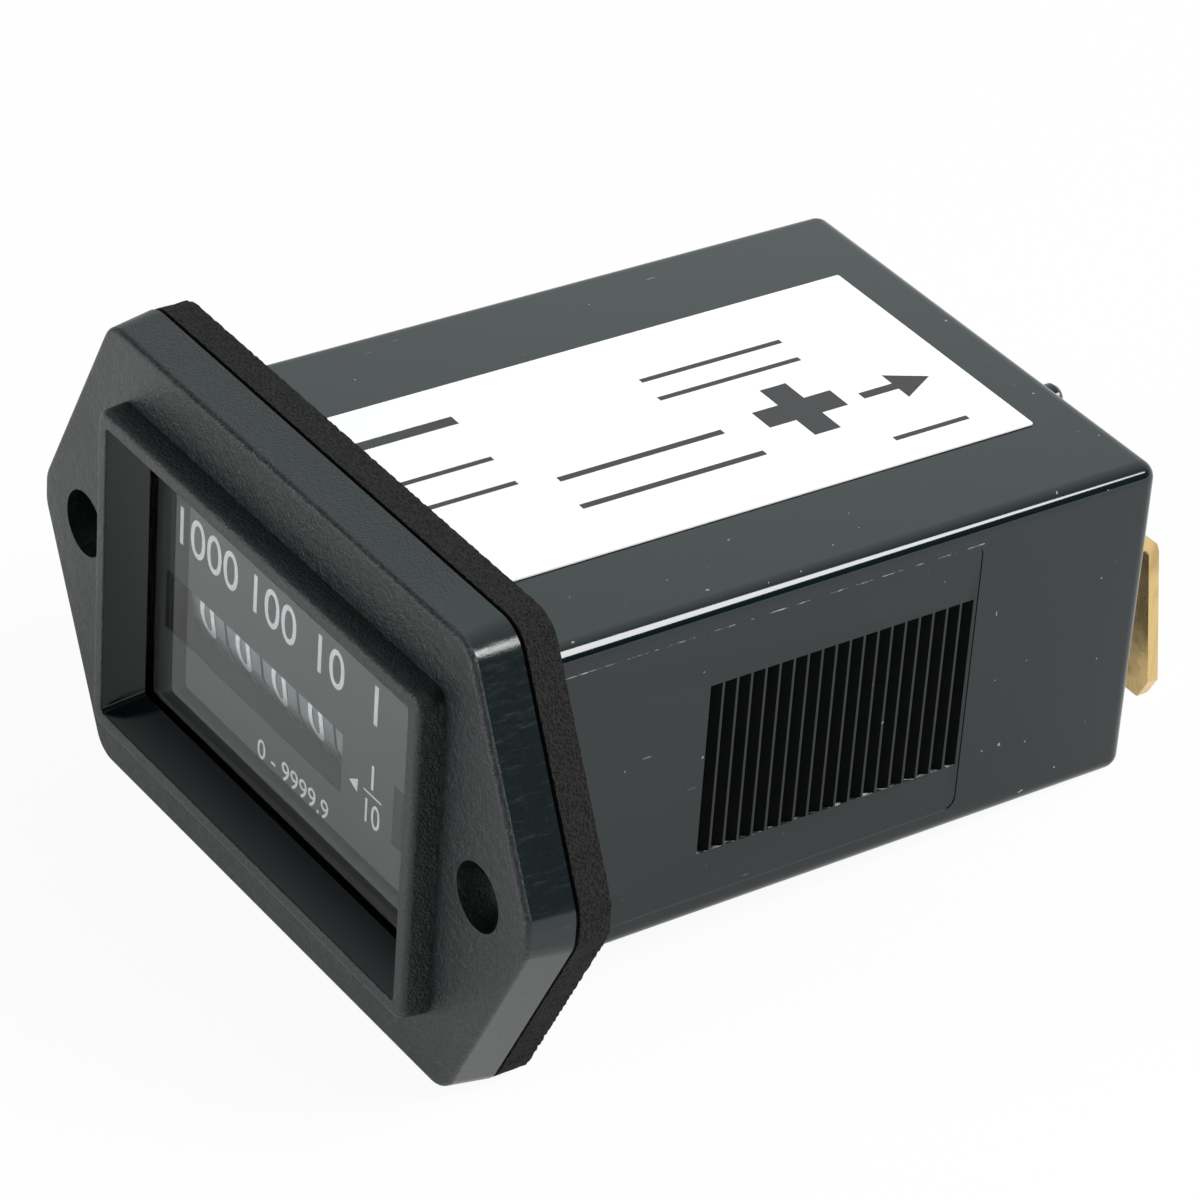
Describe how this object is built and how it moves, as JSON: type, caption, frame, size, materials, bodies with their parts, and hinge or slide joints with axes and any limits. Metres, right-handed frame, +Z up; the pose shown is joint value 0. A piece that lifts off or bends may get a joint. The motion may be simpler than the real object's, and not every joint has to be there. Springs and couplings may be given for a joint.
{
  "type": "panel hour meter",
  "caption": "Panel-mounted hour meter: textured hexagonal flange with a window, foam gasket, black case with ratchet sides and push-on blades at the rear.",
  "frame": {"origin": "centre of the bounding box", "axes": "+X to the right seen from the front, +Y into the panel along the gasket's seating normal, +Z up"},
  "size_m": [0.0562, 0.0588, 0.0324],
  "materials": {
    "case": "glossy black thermoplastic",
    "bezel": "fine textured black thermoplastic",
    "gasket": "open-cell black-brown foam",
    "lens": "clear moulded window plate",
    "dial": "satin dark grey",
    "label": "white printed film",
    "wheel": "satin grey",
    "nylon": "natural moulded plastic",
    "frame": "dark moulded plastic",
    "steel": "plain steel",
    "magnet": "sintered magnet",
    "copper": "enamelled copper wire",
    "brass": "bright brass strip",
    "board": "green glass laminate",
    "chip": "black moulded package",
    "sleeve": "dark blue sleeve",
    "ceramic": "tan lacquer"
  },
  "bodies": {
    "housing": {"bezel": "bezel", "gasket": "gasket", "case": "case", "label": "label", "lens": "lens", "dial_plate": "dial", "pinion_carrier_1": "steel", "pinion_carrier_2": "steel", "pinion_carrier_3": "steel", "pinion_carrier_4": "steel", "wheel_shaft": "steel", "stator": "steel", "coil_core": "steel", "coil_bobbin": "nylon", "coil_winding": "copper", "movement_frame": "frame", "bearing_plate": "steel", "circuit_board": "board", "driver_chip": "chip", "quartz_crystal": "steel", "capacitor": "sleeve", "diode": "chip", "resistor": "ceramic", "terminal_positive": "brass", "terminal_negative": "brass"},
    "tenths": {"wheel_tenths": "wheel"},
    "units": {"wheel_units": "wheel"},
    "tens": {"wheel_tens": "wheel"},
    "hundreds": {"wheel_hundreds": "wheel"},
    "thousands": {"wheel_thousands": "wheel"},
    "transfer_1": {"transfer_pinion_1": "nylon"},
    "transfer_2": {"transfer_pinion_2": "nylon"},
    "transfer_3": {"transfer_pinion_3": "nylon"},
    "transfer_4": {"transfer_pinion_4": "nylon"},
    "second": {"second_wheel": "nylon"},
    "indicator": {"run_indicator": "wheel"},
    "third": {"third_wheel": "nylon"},
    "rotor": {"rotor_pinion": "nylon", "rotor_magnet": "magnet"}
  },
  "joints": [
    {"name": "tenths_turn", "type": "hinge", "parent": "housing", "child": "tenths", "pos_m": [0.0039, -0.01769, -0.00168], "axis": [1, 0, 0], "continuous": true},
    {"name": "units_turn", "type": "hinge", "parent": "housing", "child": "units", "pos_m": [-0.00035, -0.01769, -0.00168], "axis": [1, 0, 0], "continuous": true},
    {"name": "tens_turn", "type": "hinge", "parent": "housing", "child": "tens", "pos_m": [-0.0046, -0.01769, -0.00168], "axis": [1, 0, 0], "continuous": true},
    {"name": "hundreds_turn", "type": "hinge", "parent": "housing", "child": "hundreds", "pos_m": [-0.00885, -0.01769, -0.00168], "axis": [1, 0, 0], "continuous": true},
    {"name": "thousands_turn", "type": "hinge", "parent": "housing", "child": "thousands", "pos_m": [-0.0131, -0.01769, -0.00168], "axis": [1, 0, 0], "continuous": true},
    {"name": "transfer_1_turn", "type": "hinge", "parent": "housing", "child": "transfer_1", "pos_m": [-0.0129, -0.0144, -0.00048], "axis": [1, 0, 0], "continuous": true},
    {"name": "transfer_2_turn", "type": "hinge", "parent": "housing", "child": "transfer_2", "pos_m": [-0.00865, -0.0144, -0.00048], "axis": [1, 0, 0], "continuous": true},
    {"name": "transfer_3_turn", "type": "hinge", "parent": "housing", "child": "transfer_3", "pos_m": [-0.0044, -0.0144, -0.00048], "axis": [1, 0, 0], "continuous": true},
    {"name": "transfer_4_turn", "type": "hinge", "parent": "housing", "child": "transfer_4", "pos_m": [-0.00015, -0.0144, -0.00048], "axis": [1, 0, 0], "continuous": true},
    {"name": "second_turn", "type": "hinge", "parent": "housing", "child": "second", "pos_m": [0.00797, -0.01247, 0.00186], "axis": [1, 0, 0], "continuous": true},
    {"name": "indicator_turn", "type": "hinge", "parent": "housing", "child": "indicator", "pos_m": [0.00797, -0.01909, -0.00168], "axis": [1, 0, 0], "continuous": true},
    {"name": "third_turn", "type": "hinge", "parent": "housing", "child": "third", "pos_m": [0.00937, -0.00655, -0.0003], "axis": [1, 0, 0], "continuous": true},
    {"name": "rotor_turn", "type": "hinge", "parent": "housing", "child": "rotor", "pos_m": [0.01068, -0.00153, -0.00119], "axis": [1, 0, 0], "continuous": true}
  ],
  "couplings": [
    {"joint": "units_turn", "follows": "tenths_turn", "ratio": 0.1},
    {"joint": "tens_turn", "follows": "tenths_turn", "ratio": 0.01},
    {"joint": "hundreds_turn", "follows": "tenths_turn", "ratio": 0.001},
    {"joint": "thousands_turn", "follows": "tenths_turn", "ratio": 0.0001},
    {"joint": "transfer_1_turn", "follows": "tenths_turn", "ratio": 0.00033333},
    {"joint": "transfer_2_turn", "follows": "tenths_turn", "ratio": 0.0033333},
    {"joint": "transfer_3_turn", "follows": "tenths_turn", "ratio": 0.033333},
    {"joint": "transfer_4_turn", "follows": "tenths_turn", "ratio": 0.33333},
    {"joint": "second_turn", "follows": "tenths_turn", "ratio": -4.25},
    {"joint": "indicator_turn", "follows": "tenths_turn", "ratio": 9.0312},
    {"joint": "third_turn", "follows": "tenths_turn", "ratio": 18.062},
    {"joint": "rotor_turn", "follows": "tenths_turn", "ratio": -58.703}
  ]
}
